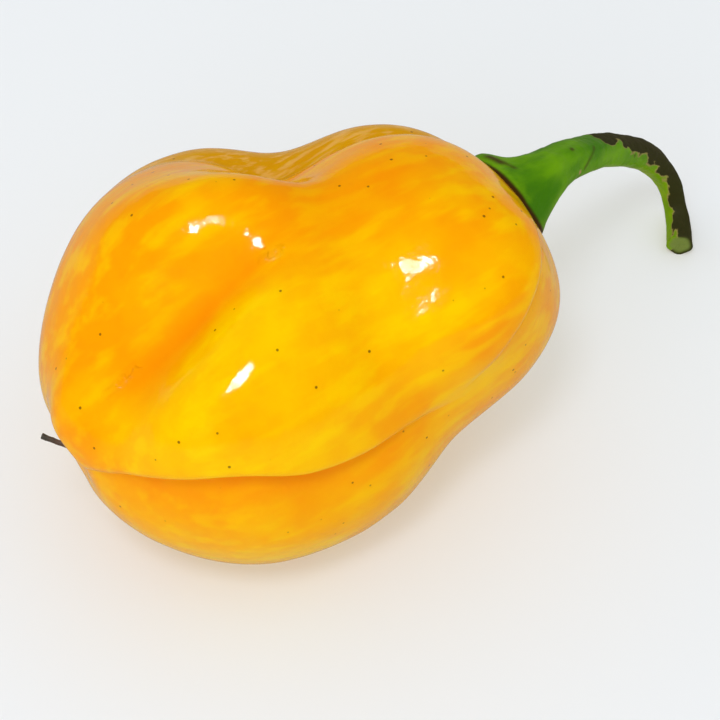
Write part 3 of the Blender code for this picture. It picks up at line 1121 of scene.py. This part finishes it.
@dataclass
class Stalk:
    """The calyx and the bent stalk, cut at its far end."""

    pod: Pod
    turns: int = 96
    rings: int = 420
    cap_rings: int = 10
    ridges: int = 5
    ridge_height: float = 0.035  # as a share of the radius
    ridge_twist: float = 120.0  # in radians for each metre of stalk
    end_sink: float = 0.00012
    rim_width: float = 0.0007
    grain_stretch: float = 2.2
    seed: float = 8.7
    dried_edge: float = 60.0  # how softly the dried patch ends, in degrees
    light_share: float = 0.6
    # how far along the stalk, 0 to 1, and from where to where round it the dried patch reaches, in degrees
    dried_span: tuple = (
        (0.0, 95.0, 15.0), (0.26, 110.0, 60.0), (0.30, 128.0, 125.0), (0.335, 126.0, 131.0),
        (0.36, 62.0, 140.0), (0.385, 32.0, 145.0), (0.43, 48.0, 150.0), (0.51, 25.0, 155.0),
        (0.56, 2.0, 160.0), (0.64, 0.0, 165.0), (0.70, -18.0, 170.0), (0.80, -32.0, 175.0),
        (0.88, -62.0, 180.0), (1.0, -58.0, 185.0))
    ripples: tuple[Ripple, ...] = (Ripple(0.0035, 0.00010), Ripple(0.0013, 0.00005), Ripple(0.0006, 0.00002))

    def under(self) -> Vector:
        """The place on the floor under the pod's middle, which the stations are measured from."""
        return Vector((self.pod.middle.x, self.pod.middle.y, 0.0))

    def relief(self, run: np.ndarray, around: np.ndarray) -> np.ndarray:
        """The stalk's lengthwise ridges, as a factor of its radius."""
        return 1.0 + self.ridge_height * np.cos(self.ridges * around + run * self.ridge_twist)

    def build(self) -> bpy.types.Object:
        """Build the calyx and the stalk.

        Returns:
            The piece.
        """
        rod = Rod(CALYX_AND_STALK, self.under(), self.rings, self.cap_rings)
        kept = {}

        def place(along: np.ndarray, around: np.ndarray) -> np.ndarray:
            """Place the vertices and keep where they are on the rod."""
            places, run, far_cap = rod.shape(along, around, self.relief, self.end_sink)
            kept.update(run=run, far_cap=far_cap, around=around)
            rough = unevenness(places, self.ripples, self.seed)
            spokes = places - rod.shape(along, around, lambda r, a: 0.0 * r, self.end_sink)[0]
            out = spokes / np.maximum(np.linalg.norm(spokes, axis=1), 1e-9)[:, None]
            return places + out * (rough * far_cap)[:, None]

        piece = drawn_ball("calyx_and_stalk_mesh", self.turns, self.rings, place)
        self.shade(piece, rod, kept)
        return piece

    def shade(self, piece: bpy.types.Object, rod: Rod, kept: dict[str, np.ndarray]) -> None:
        """Keep the masks that the stalk's colours follow.

        Args:
            piece: the stalk.
            rod: its middle line.
            kept: the length along, the angle round and the place on the far cap of each vertex.
        """
        points = vertex_places(piece)
        lift = self.pod.lift_over(points)
        share = kept["run"] / rod.length
        paint(piece, "rim", np.clip(1.3 - lift / self.rim_width, 0.0, 1.0))
        shares, first, last = np.array(self.dried_span).T
        first, last = np.interp(share, shares, first), np.interp(share, shares, last)
        outwards = np.abs(angle_between(np.degrees(kept["around"]), (first + last) / 2.0))
        paint(piece, "dried", np.clip(0.5 + ((last - first) / 2.0 - outwards) / self.dried_edge, 0.0, 1.0))
        girth = np.interp(kept["run"], rod.places, rod.line[:, 3])
        unrolled = (kept["run"] / self.grain_stretch, girth * np.cos(kept["around"]),
                    girth * np.sin(kept["around"]))
        paint_places(piece, "unrolled", np.stack(unrolled, axis=1))
        inner = 0.5 - 0.5 * np.sin(kept["around"])
        paint(piece, "light", self.light_share * smooth_step(0.5, 0.7, share) * inner)
        paint(piece, "cut", 1.0 - smooth_step(0.6, 0.95, kept["far_cap"]))

    def dress(self, piece: bpy.types.Object, effects: Effects) -> None:
        """Give the stalk its finish, hide the solid it stands for and hang it on the root body."""
        piece.data.materials.append(StalkFinish().material(effects, self.under()))
        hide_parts("calyx_and_stalk")
        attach(piece, "root")


# x, y and z from the bottom of the pit at the pod's blossom end
STYLE = (
    Station(0.0009, 0.0000, 0.0002, 0.00024),
    Station(0.0001, 0.0000, 0.0000, 0.00025),
    Station(-0.0005, 0.0003, 0.0001, 0.00027),
    Station(-0.0012, 0.0009, 0.0003, 0.00025),
    Station(-0.0024, 0.0021, 0.0007, 0.00029),
)


@dataclass
class Style:
    """The dried end of the flower's style, at the blossom end."""

    pod: Pod
    turns: int = 32
    rings: int = 90
    cap_rings: int = 6
    ripples: tuple[Ripple, ...] = (Ripple(0.0005, 0.00005), Ripple(0.0002, 0.00002))
    seed: float = 5.9
    sway: tuple = (0.2, 0.6, 0.7)  # how much of the unevenness goes along each axis
    ridges: int = 3
    ridge_height: float = 0.1  # as a share of the radius
    end_bulge: float = 0.00004

    def relief(self, run: np.ndarray, around: np.ndarray) -> np.ndarray:
        """The style's shrivelled ridges, as a factor of its radius."""
        return 1.0 + self.ridge_height * np.cos(self.ridges * around)

    def build(self) -> bpy.types.Object:
        """Build the style.

        Returns:
            The piece.
        """
        tip = np.array([[-1.0, 0.0, 0.0]])
        end = Vector(self.pod.tilted(tip * self.pod.reach(tip)[:, None])[0]) + self.pod.middle
        rod = Rod(STYLE, end, self.rings, self.cap_rings)
        kept = {}

        def place(along: np.ndarray, around: np.ndarray) -> np.ndarray:
            """Place the vertices and keep where they are on the rod."""
            places, run, _ = rod.shape(along, around, self.relief, -self.end_bulge)
            kept.update(run=run / rod.length)
            rough = unevenness(places, self.ripples, self.seed)
            return places + rough[:, None] * np.array(self.sway)

        piece = drawn_ball("style_mesh", self.turns, self.rings, place)
        paint(piece, "run", kept["run"])
        return piece

    def dress(self, piece: bpy.types.Object, effects: Effects) -> None:
        """Give the style its finish, hide the solid it stands for and hang it on the root body."""
        piece.data.materials.append(StyleFinish().material(effects))
        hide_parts("style_remnant")
        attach(piece, "root")


LAMPS = (
    Lamp("key", (-0.12, -0.51, 1.0), 0.16, 1.5, 0.8, "light"),
    Lamp("key_glints", (-0.12, -0.51, 1.0), 0.14, 13.0, 0.8, "glints"),
    Lamp("fill", (-0.45, -1.0, 0.55), 0.3, 0.35, 0.42, "light"),
)


@dataclass
class Studio:
    """The floor, the lights and the camera, set out from the pod's middle."""

    middle: Vector
    azimuth: float = -28.6
    elevation: float = 50.0
    distance: float = 0.30
    pixel: float = 0.000095  # how much of the pod one pixel of the picture shows
    middle_column: float = 288.0  # where the pod's middle stands in the picture, in pixels
    middle_row: float = 325.0
    floor_size: float = 3.0
    sensor_width: float = 36.0  # in millimetres
    surroundings: tuple = (0.92, 0.97, 1.0, 1.0)
    surroundings_strength: float = 0.86
    mirrored: tuple = (1.0, 0.70, 0.24, 1.0)  # what the gloss sees of them
    mirrored_strength: float = 0.42

    def directions(self) -> tuple[Vector, Vector, Vector]:
        """The picture's right and up, and the way back to the camera."""
        turn, rise = math.radians(self.azimuth), math.radians(self.elevation)
        back = Vector((math.sin(turn) * math.cos(rise), -math.cos(turn) * math.cos(rise), math.sin(rise)))
        right = Vector((math.cos(turn), math.sin(turn), 0.0))
        return right, back.cross(right), back

    def add_camera(self) -> None:
        """Add the camera at the photograph's viewing angle."""
        right, up, back = self.directions()
        half = IMAGE_WIDTH / 2
        aim = self.middle + right * ((half - self.middle_column) * self.pixel)
        aim += up * ((self.middle_row - half) * self.pixel)
        camera = bpy.data.cameras.new("camera")
        camera.sensor_width = self.sensor_width
        camera.lens = camera.sensor_width * self.distance / (IMAGE_WIDTH * self.pixel)
        camera.clip_start = 0.01
        stand = bpy.data.objects.new("camera", camera)
        stand.location = aim + back * self.distance
        stand.rotation_euler = back.to_track_quat("Z", "Y").to_euler()
        bpy.context.scene.collection.objects.link(stand)
        bpy.context.scene.camera = stand

    def add_light(self, lamp: Lamp) -> None:
        """Add one of the lights.

        Args:
            lamp: the light.
        """
        right = self.directions()[0]
        forward = Vector((-right.y, right.x, 0.0))
        way = right * lamp.towards[0] + forward * lamp.towards[1] + Vector((0, 0, lamp.towards[2]))
        way = way.normalized()
        light = bpy.data.lights.new(lamp.name, "AREA")
        light.size = lamp.size
        light.energy = lamp.energy
        stand = bpy.data.objects.new(lamp.name, light)
        stand.location = self.middle + way * lamp.distance
        stand.rotation_euler = way.to_track_quat("Z", "Y").to_euler()
        stand.visible_glossy = lamp.shows == "glints"
        stand.visible_diffuse = lamp.shows == "light"
        bpy.context.scene.collection.objects.link(stand)

    def add_floor(self) -> None:
        """Add the plain pale floor."""
        board = bmesh.new()
        bmesh.ops.create_grid(board, x_segments=1, y_segments=1, size=self.floor_size / 2)
        mesh = bpy.data.meshes.new("floor")
        board.to_mesh(mesh)
        board.free()
        floor = bpy.data.objects.new("floor", mesh)
        mesh.materials.append(FloorFinish().material())
        bpy.context.scene.collection.objects.link(floor)

    def light_up(self) -> None:
        """Add the lights and the pale surroundings."""
        for lamp in LAMPS:
            self.add_light(lamp)
        world = bpy.data.worlds.new("surroundings")
        world.use_nodes = True
        nodes, links = world.node_tree.nodes, world.node_tree.links
        pale = nodes["Background"]
        pale.inputs["Color"].default_value = self.surroundings
        pale.inputs["Strength"].default_value = self.surroundings_strength
        warm = nodes.new("ShaderNodeBackground")
        warm.inputs["Color"].default_value = self.mirrored
        warm.inputs["Strength"].default_value = self.mirrored_strength
        ray = nodes.new("ShaderNodeLightPath")
        either = nodes.new("ShaderNodeMixShader")
        links.new(ray.outputs["Is Glossy Ray"], either.inputs[0])
        links.new(pale.outputs[0], either.inputs[1])
        links.new(warm.outputs[0], either.inputs[2])
        links.new(either.outputs[0], nodes["World Output"].inputs["Surface"])
        bpy.context.scene.world = world
        bpy.context.scene.view_settings.view_transform = "Standard"


def main() -> None:
    """Build the chilli and its studio, and report each piece."""
    logging.basicConfig(level=logging.INFO, format="%(message)s")
    effects = Effects(mottle=mottle_group(), pinpricks=pinprick_group(), stroke=stroke_group())
    pod = Pod()
    for maker in (pod, Stalk(pod), Style(pod)):
        piece = maker.build()
        maker.dress(piece, effects)
        log.info("%s: %d faces", piece.name, len(piece.data.polygons))
    studio = Studio(pod.middle)
    studio.add_camera()
    studio.add_floor()
    studio.light_up()
    log.info("pod's middle at %s", [round(value, 5) for value in pod.middle])


if __name__ == "__main__":
    main()
